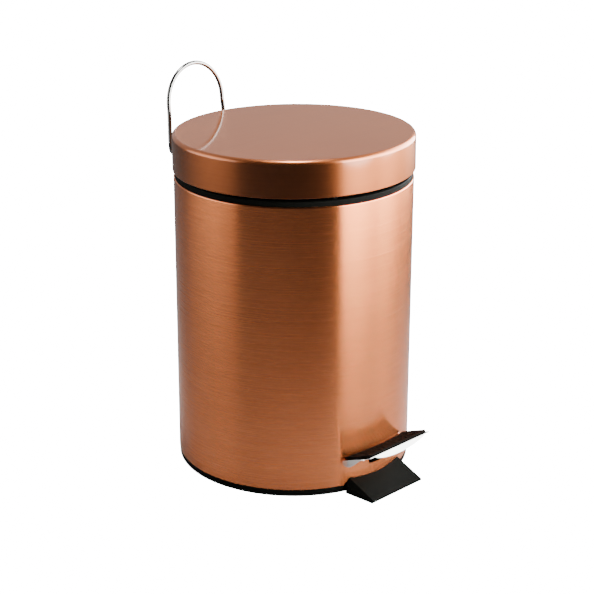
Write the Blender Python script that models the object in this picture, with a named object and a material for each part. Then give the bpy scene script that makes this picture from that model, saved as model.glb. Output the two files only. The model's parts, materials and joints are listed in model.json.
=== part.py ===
"""Round three-litre pedal bin: copper-coloured steel body and lid, black base with a front tongue,
pedal, push rod, lid hinge, lift-out bucket and wire carry handle.

Metres, +Z up. The origin is the centre of the bin on the floor and the pedal faces -Y.
Pressing the pedal turns the lever on its pivot pin, the lever's tail lifts the push rod behind the
bucket, and the rod's cap lifts the crank pin on the lid's hinge bracket.
"""

import math

import bmesh
import bpy
from mathutils import Matrix, Vector

# Driving dimensions
GAP = 0.0003                  # clearance between pieces that touch
ROUND_STEPS = 72              # facets round the large turned pieces
BODY_RADIUS = 0.085
SHEET = 0.0007                # thickness of the body's and the lid's steel sheet
BODY_TOP = 0.212
BASE_HEIGHT = 0.005           # black ring below the body
BASE_FLOOR = 0.004
COLLAR_TOP = 0.2159
LID_RADIUS = 0.0858
LID_BOTTOM = 0.2162
LID_TOP = 0.242
LID_ROUNDING = 0.003
BUCKET_FLOOR = 0.034
TONGUE_REACH = 0.105          # how far the tongue's front edge is from the axis

# Lid hinge
HINGE_Y, HINGE_Z = 0.0895, 0.234
HINGE_PIN_RADIUS = 0.0015
NOTCH_HALF, NOTCH_TOP = 0.0103, 0.2392    # the gap in the lid's wall for the hinge
CRANK_REACH = 0.0105
CRANK_DROP = math.radians(37.5)       # half of the lid's opening, so the crank swings evenly
CRANK_Y = HINGE_Y - CRANK_REACH * math.cos(CRANK_DROP)
CRANK_Z = HINGE_Z - CRANK_REACH * math.sin(CRANK_DROP)

# Hinge housing behind the body
HOUSING_HALF, HOUSING_LOW, HOUSING_TOP, HOUSING_REAR = 0.019, 0.172, 0.226, 0.1035
LID_EAR_IN, LID_EAR_OUT, LID_EAR_RADIUS = 0.006, 0.009, 0.0045
SCREW_X, SCREW_Z = 0.011, 0.184       # the two screws that hold the housing to the body

# Pedal
PIVOT_Y, PIVOT_Z = -0.020, 0.014
PIVOT_PIN_RADIUS = 0.002
PEDAL_EAR_IN, PEDAL_EAR_OUT = 0.0095, 0.0125      # the base's two ears that carry the pedal's pin
PEDAL_EAR_HALF, PEDAL_EAR_TOP = 0.006, 0.0195
PEDAL_FRONT_Y, PEDAL_FRONT_Z = -0.1055, 0.0355
PEDAL_SLOPE = math.tan(math.radians(21.5))
PEDAL_HALF_WIDTH = 0.0325
PEDAL_SHEET = 0.0016
ARM_HALF_WIDTH = 0.008
SLOT_HALF_WIDTH, SLOT_LOW, SLOT_HIGH = 0.0095, 0.0166, 0.0305
TREAD_NEAR_Y = -0.078         # the tread and its pad are cut off round the body from here

# Push rod
ROD_Y, ROD_RADIUS = 0.080, 0.0015
ROD_FOOT_Z = 0.0145

# Carry handle
HANDLE_Y, HANDLE_Z = 0.0989, 0.212
HANDLE_WIRE = 0.0016
HANDLE_LEAN = 0.094           # metres back for each metre up
HANDLE_LEG = 0.028            # half width between the legs at the bottom
HANDLE_BOW = 0.0264           # half width where the round top starts
HANDLE_BOW_Z, HANDLE_TOP_Z = 0.2475, 0.2752

# Bucket bail
BAIL_Z, BAIL_RADIUS, BAIL_WIRE = 0.206, 0.0685, 0.0012
BAIL_DROOP = math.radians(8)


def clear_scene():
    for old in list(bpy.data.objects):
        bpy.data.objects.remove(old)


def make_material(name, colour, roughness, metallic):
    material = bpy.data.materials.new(name)
    material.use_nodes = True
    shader = material.node_tree.nodes["Principled BSDF"]
    shader.inputs["Base Color"].default_value = (*colour, 1.0)
    shader.inputs["Roughness"].default_value = roughness
    shader.inputs["Metallic"].default_value = metallic
    return material


def add_piece(name, bm, material, place=None, parent=None):
    """Make the bmesh an object. place moves it and parent is the empty on its joint's axis."""
    bmesh.ops.recalc_face_normals(bm, faces=bm.faces)
    mesh = bpy.data.meshes.new(name)
    bm.to_mesh(mesh)
    bm.free()
    mesh.shade_smooth()
    mesh.set_sharp_from_angle(angle=math.radians(35))
    piece = bpy.data.objects.new(name, mesh)
    bpy.context.collection.objects.link(piece)
    if material:
        mesh.materials.append(material)
    if place:
        piece.matrix_world = place
    if parent:
        hang(piece, parent)
    return piece


def hang(piece, parent):
    piece.parent = parent
    piece.matrix_parent_inverse = Matrix.Translation(-parent.location)


def joint_axis(name, location):
    empty = bpy.data.objects.new(name, None)
    empty.location = location
    bpy.context.collection.objects.link(empty)
    return empty


def combine(target, helper, operation):
    """Cut the helper from the target, or join it on, with a live Boolean."""
    helper.hide_render = True
    helper.display_type = "WIRE"
    modifier = target.modifiers.new(helper.name, "BOOLEAN")
    modifier.operation = operation
    modifier.solver = "EXACT"
    modifier.object = helper


def cut(target, helper):
    combine(target, helper, "DIFFERENCE")


def join(target, helper):
    combine(target, helper, "UNION")


def drill(target, name, radius, length, place, segments=24):
    """Cut a round hole through the target."""
    cut(target, add_piece(name, rod_shape(radius, length, segments), None, place))


def turn(outline, steps=ROUND_STEPS):
    """Spin a closed (radius, z) outline round the Z axis."""
    bm = bmesh.new()
    ring = [bm.verts.new((radius, 0, z)) for radius, z in outline]
    for start, end in zip(ring, ring[1:] + ring[:1]):
        if start.co.x > 0 or end.co.x > 0:
            bm.edges.new((start, end))
    bmesh.ops.spin(bm, geom=bm.verts[:] + bm.edges[:], cent=(0, 0, 0), axis=(0, 0, 1),
                   angle=math.tau, steps=steps, use_merge=True)
    bmesh.ops.remove_doubles(bm, verts=bm.verts, dist=1e-6)
    return bm


def prism(outline, low, high, along):
    """Extrude a flat outline along an axis. The outline's two numbers are the other two axes."""
    lay = {"X": lambda a, b: (low, a, b), "Y": lambda a, b: (a, low, b), "Z": lambda a, b: (a, b, low)}
    step = {"X": (high - low, 0, 0), "Y": (0, high - low, 0), "Z": (0, 0, high - low)}
    bm = bmesh.new()
    face = bm.faces.new([bm.verts.new(lay[along](a, b)) for a, b in outline])
    moved = bmesh.ops.extrude_face_region(bm, geom=[face], use_keep_orig=True)["geom"]
    bmesh.ops.translate(bm, verts=[v for v in moved if isinstance(v, bmesh.types.BMVert)], vec=step[along])
    return bm


def box(low, high):
    return prism([(low[0], low[1]), (high[0], low[1]), (high[0], high[1]), (low[0], high[1])],
                 low[2], high[2], "Z")


def rod_shape(radius, length, segments=24):
    """A round bar on the Z axis, centred on the origin."""
    bm = bmesh.new()
    bmesh.ops.create_cone(bm, cap_ends=True, segments=segments, radius1=radius, radius2=radius, depth=length)
    return bm


def across(x, y, z):
    """Places a bar so that it lies along X."""
    return Matrix.Translation((x, y, z)) @ Matrix.Rotation(math.radians(90), 4, "Y")


def rearward(x, y, z):
    """Places a turned piece so that its axis points to +Y."""
    return Matrix.Translation((x, y, z)) @ Matrix.Rotation(math.radians(-90), 4, "X")


def arc(centre, radius, start, end, steps):
    turns = [math.radians(start + (end - start) * i / steps) for i in range(steps + 1)]
    return [(centre[0] + radius * math.cos(t), centre[1] + radius * math.sin(t)) for t in turns]


def hull(outlines, low, high):
    """The convex solid round (y, z) points, from x = low to x = high."""
    bm = bmesh.new()
    for y, z in outlines:
        bm.verts.new((low, y, z))
        bm.verts.new((high, y, z))
    found = bmesh.ops.convex_hull(bm, input=bm.verts)
    inside = {v for v in found["geom_interior"] if isinstance(v, bmesh.types.BMVert)}
    bmesh.ops.delete(bm, geom=list(inside), context="VERTS")
    bmesh.ops.dissolve_limit(bm, angle_limit=math.radians(1), verts=bm.verts, edges=bm.edges)
    return bm


def wire(name, points, radius, material, parent=None, sides=3):
    """A round wire through the points. sides is the curve's bevel resolution."""
    curve = bpy.data.curves.new(name, "CURVE")
    curve.dimensions = "3D"
    curve.bevel_depth = radius
    curve.bevel_resolution = sides
    curve.use_fill_caps = True
    spline = curve.splines.new("POLY")
    spline.points.add(len(points) - 1)
    for point, place in zip(spline.points, points):
        point.co = (*place, 1)
    curve.materials.append(material)
    piece = bpy.data.objects.new(name, curve)
    bpy.context.collection.objects.link(piece)
    if parent:
        hang(piece, parent)
    return piece


def make_body(copper):
    outer, inner, bottom = BODY_RADIUS, BODY_RADIUS - SHEET, BASE_HEIGHT + GAP
    wall = [(inner, bottom), (outer, bottom), (outer, BODY_TOP), (inner, BODY_TOP)]
    shell = add_piece("body_shell", turn(wall), copper)
    slot = box((-SLOT_HALF_WIDTH, -0.095, SLOT_LOW), (SLOT_HALF_WIDTH, -0.075, SLOT_HIGH))
    cut(shell, add_piece("cut_pedal_slot", slot, None))
    for side in (-1, 1):
        place = rearward(side * SCREW_X, BODY_RADIUS, SCREW_Z)
        drill(shell, f"cut_shell_screw_{side}", 0.0017, 0.02, place, 16)


def make_base(black):
    spigot, wall = BODY_RADIUS - SHEET - GAP, 0.0016
    rim = BODY_RADIUS - GAP
    outline = [
        (0, 0.0015), (0.0800, 0.0015), (0.0803, 0), (rim - 0.0007, 0), (rim, 0.0007), (rim, BASE_HEIGHT),
        (spigot, BASE_HEIGHT), (spigot, 0.0135), (spigot - 0.0005, 0.014), (spigot - wall, 0.014),
        (spigot - wall, BASE_FLOOR), (0, BASE_FLOOR),
    ]
    base = add_piece("base_moulding", turn(outline), black)
    join(base, make_tongue())
    half, root = PEDAL_EAR_HALF, BASE_FLOOR - 0.001
    for side in (-1, 1):
        low, high = sorted((side * PEDAL_EAR_IN, side * PEDAL_EAR_OUT))
        ear = [(PIVOT_Y - half, root), (PIVOT_Y + half, root)]
        ear += arc((PIVOT_Y, PEDAL_EAR_TOP - half), half, 0, 180, 10)
        join(base, add_piece(f"add_ear_{side}", prism(ear, low, high, "X"), None))
    drill(base, "cut_pivot_bore", PIVOT_PIN_RADIUS + GAP, 0.04, across(0, PIVOT_Y, PIVOT_Z))
    tail_room = box((-0.012, 0.078, BASE_HEIGHT + 0.001), (0.012, 0.090, 0.020))
    cut(base, add_piece("cut_tail_room", tail_room, None))


def make_tongue():
    """The anti-tip tongue: high where it meets the body, thin at its front edge."""
    back = [(0.0285, 0), (0.0280, 0.0058), (0.0245, 0.0104)]
    front = [(0.0265, 0), (0.0263, 0.0013), (0.0255, 0.0020)]
    bm = bmesh.new()
    sections = []
    for y, half in ((-0.0815, back), (-TONGUE_REACH, front)):
        section = [(-x, z) for x, z in half] + [(x, z) for x, z in reversed(half)]
        sections.append([bm.verts.new((x, y, z)) for x, z in section])
    bm.faces.new(sections[0])
    bm.faces.new(sections[1])
    for i in range(len(sections[0])):
        j = (i + 1) % len(sections[0])
        bm.faces.new((sections[0][i], sections[0][j], sections[1][j], sections[1][i]))
    tongue = add_piece("add_tongue", bm, None)
    body = turn([(0, BASE_HEIGHT), (BODY_RADIUS + GAP, BASE_HEIGHT), (BODY_RADIUS + GAP, 0.03), (0, 0.03)])
    cut(tongue, add_piece("cut_tongue_body", body, None))
    return tongue


def make_collar(black):
    skirt = BODY_RADIUS - SHEET - GAP
    low, seat = BODY_TOP + GAP, 0.2139
    outline = [
        (0.0750, low), (skirt - 0.0014, low), (skirt - 0.0014, 0.200), (skirt, 0.200), (skirt, low),
        (0.0842, low), (0.0842, COLLAR_TOP - 0.0004), (0.0838, COLLAR_TOP), (0.0775, COLLAR_TOP),
        (0.0775, seat), (0.0750, seat),
    ]
    collar = add_piece("rim_collar", turn(outline), black)
    drill(collar, "cut_rod_hole", ROD_RADIUS + 0.0005, 0.02, Matrix.Translation((0, ROD_Y, BODY_TOP)), 16)


def make_bucket(grey):
    top = COLLAR_TOP - GAP
    outline = [
        (0, BUCKET_FLOOR), (0.0670, BUCKET_FLOOR), (0.0690, BUCKET_FLOOR + 0.002), (0.0733, 0.2142),
        (0.0772, 0.2142), (0.0772, top), (0.0723, top), (0.0717, 0.2148), (0.0675, BUCKET_FLOOR + 0.003),
        (0.0665, BUCKET_FLOOR + 0.0015), (0, BUCKET_FLOOR + 0.0015),
    ]
    bucket = add_piece("inner_bucket", turn(outline), grey)
    drill(bucket, "cut_bail_eyes", BAIL_WIRE + 0.0004, 0.2, across(0, 0, BAIL_Z), 16)


def make_bail(steel):
    """The bucket's wire bail, lying inside its mouth with its ends through the wall."""
    pivot = joint_axis("bail_axis", (0, 0, BAIL_Z))
    end, bend = 0.0755, 0.003

    def drooping(x, reach):
        return (x, -reach * math.cos(BAIL_DROOP), BAIL_Z - reach * math.sin(BAIL_DROOP))

    corner = [(end, 0.0)] + arc((BAIL_RADIUS, bend), bend, 270, 180, 4)
    bow = arc((0, bend), BAIL_RADIUS - bend, 0, 180, 30)[1:-1]
    path = corner + bow + [(-x, reach) for x, reach in reversed(corner)]
    wire("bucket_bail", [drooping(x, reach) for x, reach in path], BAIL_WIRE, steel, pivot, sides=2)


def tread_z(y):
    """Height of the tread's upper face, which slopes down towards the body."""
    return PEDAL_FRONT_Z - (y - PEDAL_FRONT_Y) * PEDAL_SLOPE


def make_pedal(steel, rubber):
    """The stamped lever, from the tread in front to the tail under the push rod, and its rubber pad."""
    pivot = joint_axis("pedal_axis", (0, PIVOT_Y, PIVOT_Z))
    sheet, strap_top, tail_end = PEDAL_SHEET, 0.0115, 0.0815
    upper = [(-0.092, tread_z(-0.092)), (-0.066, tread_z(-0.066)), (-0.050, strap_top + 0.0008),
             (-0.044, strap_top), (tail_end, strap_top)]
    lower = [(y, z - sheet) for y, z in upper]
    arm = prism(upper + lower[::-1], -ARM_HALF_WIDTH, ARM_HALF_WIDTH, "X")
    lever = add_piece("pedal_lever", arm, steel, parent=pivot)
    join(lever, make_tread())

    sleeve = rod_shape(PIVOT_PIN_RADIUS + 0.0022, 2 * ARM_HALF_WIDTH)
    join(lever, add_piece("add_sleeve", sleeve, None, across(0, PIVOT_Y, PIVOT_Z)))
    tab = [(0.074, strap_top - sheet), (tail_end, strap_top - sheet), (tail_end, ROD_FOOT_Z)]
    tab += [(min(y, tail_end), z) for y, z in arc((ROD_Y, ROD_FOOT_Z), 0.0045, 0, 180, 8)[1:]]
    join(lever, add_piece("add_tab", hull(tab, -0.0050, -0.0034), None))
    drill(lever, "cut_sleeve", PIVOT_PIN_RADIUS + GAP, 0.03, across(0, PIVOT_Y, PIVOT_Z))
    drill(lever, "cut_tab_hole", ROD_RADIUS + 0.0011, 0.0032, across(-0.0042, ROD_Y, ROD_FOOT_Z))
    for name, low, high in (("cut_rod_notch", -0.0030, 0.0030), ("cut_clip_room", -0.0090, -0.0053)):
        cut(lever, add_piece(name, box((low, ROD_Y - 0.0040, 0.005), (high, 0.09, 0.02)), None))
    make_pad(rubber, pivot)


def make_tread():
    """The wide front of the lever with its flanges, hollowed round the body."""
    side = [(PEDAL_FRONT_Y, PEDAL_FRONT_Z), (TREAD_NEAR_Y, tread_z(TREAD_NEAR_Y))]
    side += [(y, z - PEDAL_SHEET) for y, z in reversed(side)]
    plate = add_piece("add_tread", prism(side, -PEDAL_HALF_WIDTH, PEDAL_HALF_WIDTH, "X"), None)
    for name, shape in flange_shapes().items():
        join(plate, add_piece(name, shape, None))
    drill(plate, "cut_tread_body", BODY_RADIUS + 0.0015, 0.08, Matrix(), ROUND_STEPS)
    return plate


def flange_shapes():
    """The tread's downturned front edge, deepest in the middle, and its sides, deepest near the body."""
    thick, steps, shallow = 0.0012, 10, PEDAL_SHEET
    shares = [i / steps for i in range(steps + 1)]
    front = [(PEDAL_HALF_WIDTH * (1 - 2 * t), PEDAL_FRONT_Z) for t in shares]
    under = [(x, z - shallow - 0.0036 * (1 - (1 - 2 * t) ** 2) ** 0.7) for (x, z), t in zip(front, shares)]
    shapes = {"add_front_flange": prism([front[0], front[-1]] + under[::-1], PEDAL_FRONT_Y,
                                        PEDAL_FRONT_Y + thick, "Y")}
    end = -math.sqrt(BODY_RADIUS ** 2 - PEDAL_HALF_WIDTH ** 2)       # where the side meets the body
    slope = [PEDAL_FRONT_Y + (end - PEDAL_FRONT_Y) * t for t in shares]
    upper = [(y, tread_z(y) - 0.0004) for y in slope]
    lower = [(y, tread_z(y) - shallow - 0.0064 * math.sin(math.pi * t ** 1.5)) for y, t in zip(slope, shares)]
    for side in (-1, 1):
        low, high = sorted((side * PEDAL_HALF_WIDTH, side * (PEDAL_HALF_WIDTH - thick)))
        shapes[f"add_side_flange_{side}"] = prism(upper + lower[::-1], low, high, "X")
    return shapes


def make_pad(rubber, pivot):
    thick, reach, half, corner = 0.0018, 0.1038, 0.0305, 0.004
    low = [(y, tread_z(y) + GAP) for y in (-reach, TREAD_NEAR_Y)]
    side = low + [(y, z + thick) for y, z in reversed(low)]
    pad = add_piece("pedal_pad", prism(side, -half, half, "X"), rubber, parent=pivot)
    drill(pad, "cut_pad_body", BODY_RADIUS + 0.0025, 0.08, Matrix(), ROUND_STEPS)
    beyond = 0.001
    for side_sign in (-1, 1):
        tip = [(side_sign * (half + beyond), -reach - beyond), (side_sign * (half + beyond), -reach + corner),
               (side_sign * (half - corner), -reach - beyond)]
        cut(pad, add_piece(f"cut_pad_corner_{side_sign}", prism(tip, 0.02, 0.05, "Z"), None))


def make_pivot_pin(steel):
    length, half = 0.0315, 0.0005     # the pin's length and half of a washer's thickness
    add_piece("pedal_pivot_pin", rod_shape(PIVOT_PIN_RADIUS, length), steel, across(0, PIVOT_Y, PIVOT_Z))
    bore = PIVOT_PIN_RADIUS + GAP
    for side, word in ((-1, "left"), (1, "right")):
        ring = turn([(bore, -half), (0.0040, -half), (0.0040, half), (bore, half)], 20)
        place = across(side * (PEDAL_EAR_OUT + GAP + half), PIVOT_Y, PIVOT_Z)
        add_piece(f"pivot_washer_{word}", ring, steel, place)


def make_rod(steel, black):
    axis = joint_axis("rod_axis", (0, ROD_Y, ROD_FOOT_Z))
    bend, end = 0.002, -0.0078
    top = CRANK_Z - HINGE_PIN_RADIUS - 0.0004
    elbow = [(x, ROD_Y, z) for x, z in arc((-bend, ROD_FOOT_Z + bend), bend, 270, 360, 5)]
    path = [(end, ROD_Y, ROD_FOOT_Z)] + elbow + [(0, ROD_Y, top - 0.002)]
    wire("push_rod", path, ROD_RADIUS, steel, axis, sides=3)
    bore, skirt, crown = ROD_RADIUS + GAP, top - 0.0065, top - 0.0017
    cap = [(0, crown), (0, top), (0.0026, top), (0.0030, top - 0.0004), (0.0030, skirt), (bore, skirt),
           (bore, crown)]
    add_piece("rod_cap", turn(cap, 24), black, Matrix.Translation((0, ROD_Y, 0)), axis)
    clip = turn([(bore, -0.0005), (0.0031, -0.0005), (0.0031, 0.0005), (bore, 0.0005)], 20)
    add_piece("rod_clip", clip, steel, across(-0.0062, ROD_Y, ROD_FOOT_Z), axis)


def make_guides(black):
    """Two blocks on the inside of the body keep the rod upright."""
    half, tall = 0.005, 0.008
    for word, low in (("lower", 0.060), ("upper", 0.160)):
        guide = add_piece(f"rod_guide_{word}", box((-half, 0.0772, low), (half, 0.0835, low + tall)), black)
        middle = Matrix.Translation((0, ROD_Y, low + tall / 2))
        drill(guide, f"cut_guide_{word}", ROD_RADIUS + 0.0004, 0.02, middle, 16)


def make_housing(black):
    """The black hinge housing behind the body: it carries the lid's pin and the carry handle."""
    low_z, top, rear, front = HOUSING_LOW, HOUSING_TOP, HOUSING_REAR, 0.080
    side = [(front, low_z), (0.0935, low_z), (0.0975, low_z + 0.003), (rear, 0.198), (rear, top - 0.004),
            (rear - 0.004, top), (front, top)]
    housing = add_piece("hinge_housing", prism(side, -HOUSING_HALF, HOUSING_HALF, "X"), black)
    wall, shelf = 0.0025, 0.004
    inside = HOUSING_HALF - wall
    pocket = box((-inside, 0.07, low_z + shelf), (inside, rear - 0.010, top - shelf))
    cut(housing, add_piece("cut_pocket", pocket, None))
    for side_sign in (-1, 1):
        place = rearward(side_sign * SCREW_X, 0.088, SCREW_Z)
        join(housing, add_piece(f"add_boss_{side_sign}", rod_shape(0.0036, 0.016), None, place))
        low, high = sorted((side_sign * LID_EAR_IN, side_sign * LID_EAR_OUT))
        ear = arc((HINGE_Y, HINGE_Z), LID_EAR_RADIUS, 0, 360, 20)[:-1]
        ear += [(0.087, top - 0.003), (0.0975, top - 0.003)]
        join(housing, add_piece(f"add_lid_ear_{side_sign}", hull(ear, low, high), None))
    by_body, by_lid = BODY_RADIUS + GAP, LID_RADIUS + 0.0004
    round_bin = turn([(0, 0.1), (by_body, 0.1), (by_body, BODY_TOP), (by_lid, BODY_TOP + 0.001),
                      (by_lid, top + 0.001), (0, top + 0.001)])
    cut(housing, add_piece("cut_housing_body", round_bin, None))
    drill(housing, "cut_lid_pin_bore", HINGE_PIN_RADIUS + GAP, 0.03, across(0, HINGE_Y, HINGE_Z))
    drill(housing, "cut_handle_bore", HANDLE_WIRE + GAP, 0.05, across(0, HANDLE_Y, HANDLE_Z))
    for side_sign in (-1, 1):
        place = rearward(side_sign * SCREW_X, 0.0885, SCREW_Z)
        drill(housing, f"cut_boss_{side_sign}", 0.0016, 0.011, place, 16)


def make_screws(steel):
    outline = [(0, -0.0030), (0.0024, -0.0030), (0.0030, -0.0024), (0.0030, -0.0014), (0.0013, -0.0014),
               (0.0013, 0.0085), (0, 0.0095)]
    for side, word in ((-1, "left"), (1, "right")):
        add_piece(f"hinge_screw_{word}", turn(outline, 16), steel, rearward(side * SCREW_X, 0.0844, SCREW_Z))


def make_lid(copper, black, steel, rubber):
    """The lid's skin, the black liner pressed into it, two bumpers and the hinge bracket."""
    hinge = joint_axis("lid_axis", (0, HINGE_Y, HINGE_Z))
    inner, ceiling = LID_RADIUS - SHEET, LID_TOP - SHEET
    corner = (LID_RADIUS - LID_ROUNDING, LID_TOP - LID_ROUNDING)
    rounding = arc(corner, LID_ROUNDING, 0, 90, 5)
    hollow = arc(corner, LID_ROUNDING - SHEET, 90, 0, 4)
    outline = [(inner, LID_BOTTOM), (LID_RADIUS, LID_BOTTOM)] + rounding
    outline += [(0, LID_TOP), (0, ceiling)] + hollow
    skin = add_piece("lid_skin", turn(outline), copper, parent=hinge)
    notch = box((-NOTCH_HALF, 0.0785, 0.20), (NOTCH_HALF, 0.10, NOTCH_TOP))
    cut(skin, add_piece("cut_skin_notch", notch, None))

    rim, floor, wall = inner - GAP, 0.2182, 0.0014
    outline = [(0, floor), (rim - 0.0005, floor), (rim, floor + 0.0005), (rim, 0.2250), (rim - wall, 0.2250),
               (rim - wall, floor + 0.0015), (0, floor + 0.0015)]
    liner = add_piece("lid_liner", turn(outline), black, parent=hinge)
    notch = box((-NOTCH_HALF, 0.071, 0.20), (NOTCH_HALF, 0.10, NOTCH_TOP))
    cut(liner, add_piece("cut_liner_notch", notch, None))

    puck_top = floor - GAP
    for side, word in ((-1, "left"), (1, "right")):
        place = Matrix.Translation((side * 0.036, -0.0722, (puck_top + LID_BOTTOM) / 2))
        add_piece(f"lid_bumper_{word}", rod_shape(0.003, puck_top - LID_BOTTOM, 20), rubber, place, hinge)
    make_bracket(steel, hinge, ceiling)


def make_bracket(steel, hinge, ceiling):
    """The bracket under the lid: a plate with two cheeks that reach back to the pin and hold the crank."""
    top, thick, half = ceiling - GAP, 0.0012, 0.007
    plate = box((-half, 0.048, top - thick), (half, 0.0818, top))
    bracket = add_piece("lid_hinge_bracket", plate, steel, parent=hinge)
    for side in (-1, 1):
        low, high = sorted((side * 0.0042, side * 0.0054))
        cheek = arc((HINGE_Y, HINGE_Z), 0.0042, 0, 360, 20)[:-1]
        cheek += arc((CRANK_Y, CRANK_Z), 0.0032, 0, 360, 16)[:-1]
        cheek += [(0.062, top - 0.0008), (0.0770, top - 0.0008), (0.062, top - 0.003)]
        join(bracket, add_piece(f"add_cheek_{side}", hull(cheek, low, high), None))
    for name, y, z in (("cut_cheek_pin", HINGE_Y, HINGE_Z), ("cut_cheek_crank", CRANK_Y, CRANK_Z)):
        drill(bracket, name, HINGE_PIN_RADIUS + GAP, 0.02, across(0, y, z))
    add_piece("crank_pin", rod_shape(HINGE_PIN_RADIUS, 0.0132), steel, across(0, CRANK_Y, CRANK_Z), hinge)
    add_piece("lid_hinge_pin", rod_shape(HINGE_PIN_RADIUS, 0.0200), steel, across(0, HINGE_Y, HINGE_Z))


def make_handle(steel):
    """The wire carry handle, standing up behind the lid and leaning slightly back."""
    pivot = joint_axis("handle_axis", (0, HANDLE_Y, HANDLE_Z))
    bend, end = 0.005, 0.0125

    def leaning(x, z):
        return (x, HANDLE_Y + (z - HANDLE_Z) * HANDLE_LEAN, z)

    half = [(end, HANDLE_Z)] + arc((HANDLE_LEG - bend, HANDLE_Z + bend), bend, 270, 360, 6)
    start, steps = HANDLE_Z + bend, 8
    for i in range(1, steps):
        part = i / steps
        ease = part * part * (3 - 2 * part)
        half.append((HANDLE_LEG + (HANDLE_BOW - HANDLE_LEG) * ease, start + (HANDLE_BOW_Z - start) * part))
    rise = HANDLE_TOP_Z - HANDLE_BOW_Z
    bow = [(HANDLE_BOW * math.cos(math.radians(a)), HANDLE_BOW_Z + rise * math.sin(math.radians(a)))
           for a in range(0, 181, 6)]
    path = half + bow + [(-x, z) for x, z in reversed(half)]
    wire("carry_handle", [leaning(x, z) for x, z in path], HANDLE_WIRE, steel, pivot, sides=3)


def main():
    clear_scene()
    copper = make_material("brushed_copper", (0.66, 0.33, 0.19), 0.28, 1.0)
    black = make_material("black_plastic", (0.018, 0.018, 0.018), 0.42, 0.0)
    grey = make_material("bucket_plastic", (0.05, 0.05, 0.052), 0.5, 0.0)
    rubber = make_material("black_rubber", (0.012, 0.012, 0.012), 0.65, 0.0)
    chrome = make_material("chromed_steel", (0.80, 0.80, 0.79), 0.08, 1.0)
    steel = make_material("zinc_plated_steel", (0.55, 0.55, 0.54), 0.35, 1.0)

    make_body(copper)
    make_base(black)
    make_collar(black)
    make_bucket(grey)
    make_bail(steel)
    make_pedal(chrome, rubber)
    make_pivot_pin(steel)
    make_rod(steel, black)
    make_guides(black)
    make_housing(black)
    make_screws(steel)
    make_lid(copper, black, steel, rubber)
    make_handle(chrome)


main()
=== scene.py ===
import json
import math

import bmesh
import bpy
from mathutils import Matrix, Vector


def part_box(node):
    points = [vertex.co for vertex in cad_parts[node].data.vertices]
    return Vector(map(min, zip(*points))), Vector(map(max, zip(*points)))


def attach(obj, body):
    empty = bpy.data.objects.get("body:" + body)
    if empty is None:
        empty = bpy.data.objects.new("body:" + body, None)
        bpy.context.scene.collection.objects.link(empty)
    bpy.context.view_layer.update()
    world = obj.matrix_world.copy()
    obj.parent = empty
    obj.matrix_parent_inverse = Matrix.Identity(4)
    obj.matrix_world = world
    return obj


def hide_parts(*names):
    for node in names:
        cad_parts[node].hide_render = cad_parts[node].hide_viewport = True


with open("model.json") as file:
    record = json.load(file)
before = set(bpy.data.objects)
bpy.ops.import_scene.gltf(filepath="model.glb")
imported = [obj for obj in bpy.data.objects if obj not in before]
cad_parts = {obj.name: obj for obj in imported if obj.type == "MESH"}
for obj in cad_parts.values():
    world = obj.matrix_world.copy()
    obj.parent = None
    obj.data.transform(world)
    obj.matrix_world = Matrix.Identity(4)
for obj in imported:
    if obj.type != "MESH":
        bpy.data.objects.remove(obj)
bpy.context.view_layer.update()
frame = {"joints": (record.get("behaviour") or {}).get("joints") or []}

mm = 0.001               # the pieces are drawn in millimetres, and looseObject makes them metres
rodY = 80.0              # the push rod stands this far behind the bin's axis
lidTilt = 0.75           # degrees: the bumpers hold the closed lid this far open
roundSteps = 48          # sides of a small round part
ringSteps = 192          # sides of a ring about as wide as the bin


def spanOf(node):
    low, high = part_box(node)
    return low / mm, high / mm


def pivotOf(joint):
    return Vector(next(j["pos_m"] for j in frame["joints"] if j["name"] == joint)) / mm


def lidLean():
    # the turn about the hinge that every piece of the lid is given
    hinge = pivotOf("lid_open")
    turn = Matrix.Rotation(math.radians(-lidTilt), 4, "X")
    return Matrix.Translation(hinge * mm) @ turn @ Matrix.Translation(-hinge * mm)


# Materials. Patterns sit on Object coordinates, except the brushing, which follows the "brush" UV map.
def newMaterial(name, **shaderValues):
    material = bpy.data.materials.new(name)
    material.use_nodes = True
    shader = material.node_tree.nodes["Principled BSDF"]
    for socket, value in shaderValues.items():
        shader.inputs[socket.replace("_", " ")].default_value = value
    return material, material.node_tree, shader


def addNode(tree, kind, **settings):
    node = tree.nodes.new(kind)
    for key, value in settings.items():
        if hasattr(node, key):
            setattr(node, key, value)
        else:
            node.inputs[key.replace("_", " ")].default_value = value
    return node


def noise(tree, scale, source=None, **settings):
    # a noise pattern on Object coordinates, or on another vector, stretched by scale
    if source is None:
        source = addNode(tree, "ShaderNodeTexCoord").outputs["Object"]
    mapping = addNode(tree, "ShaderNodeMapping", Scale=scale)
    pattern = addNode(tree, "ShaderNodeTexNoise", **settings)
    tree.links.new(source, mapping.inputs["Vector"])
    tree.links.new(mapping.outputs["Vector"], pattern.inputs["Vector"])
    return pattern.outputs[0]


def remap(tree, value, low, high, toLow, toHigh):
    node = addNode(tree, "ShaderNodeMapRange", clamp=True, From_Min=low, From_Max=high,
                   To_Min=toLow, To_Max=toHigh)
    tree.links.new(value, node.inputs["Value"])
    return node.outputs["Result"]


def blendColours(tree, factor, first, second):
    node = addNode(tree, "ShaderNodeMix", data_type="RGBA")
    tree.links.new(factor, node.inputs[0])
    for socket, colour in ((6, first), (7, second)):
        if isinstance(colour, tuple):
            node.inputs[socket].default_value = (*colour, 1)
        else:
            tree.links.new(colour, node.inputs[socket])
    return node.outputs[2]


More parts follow.
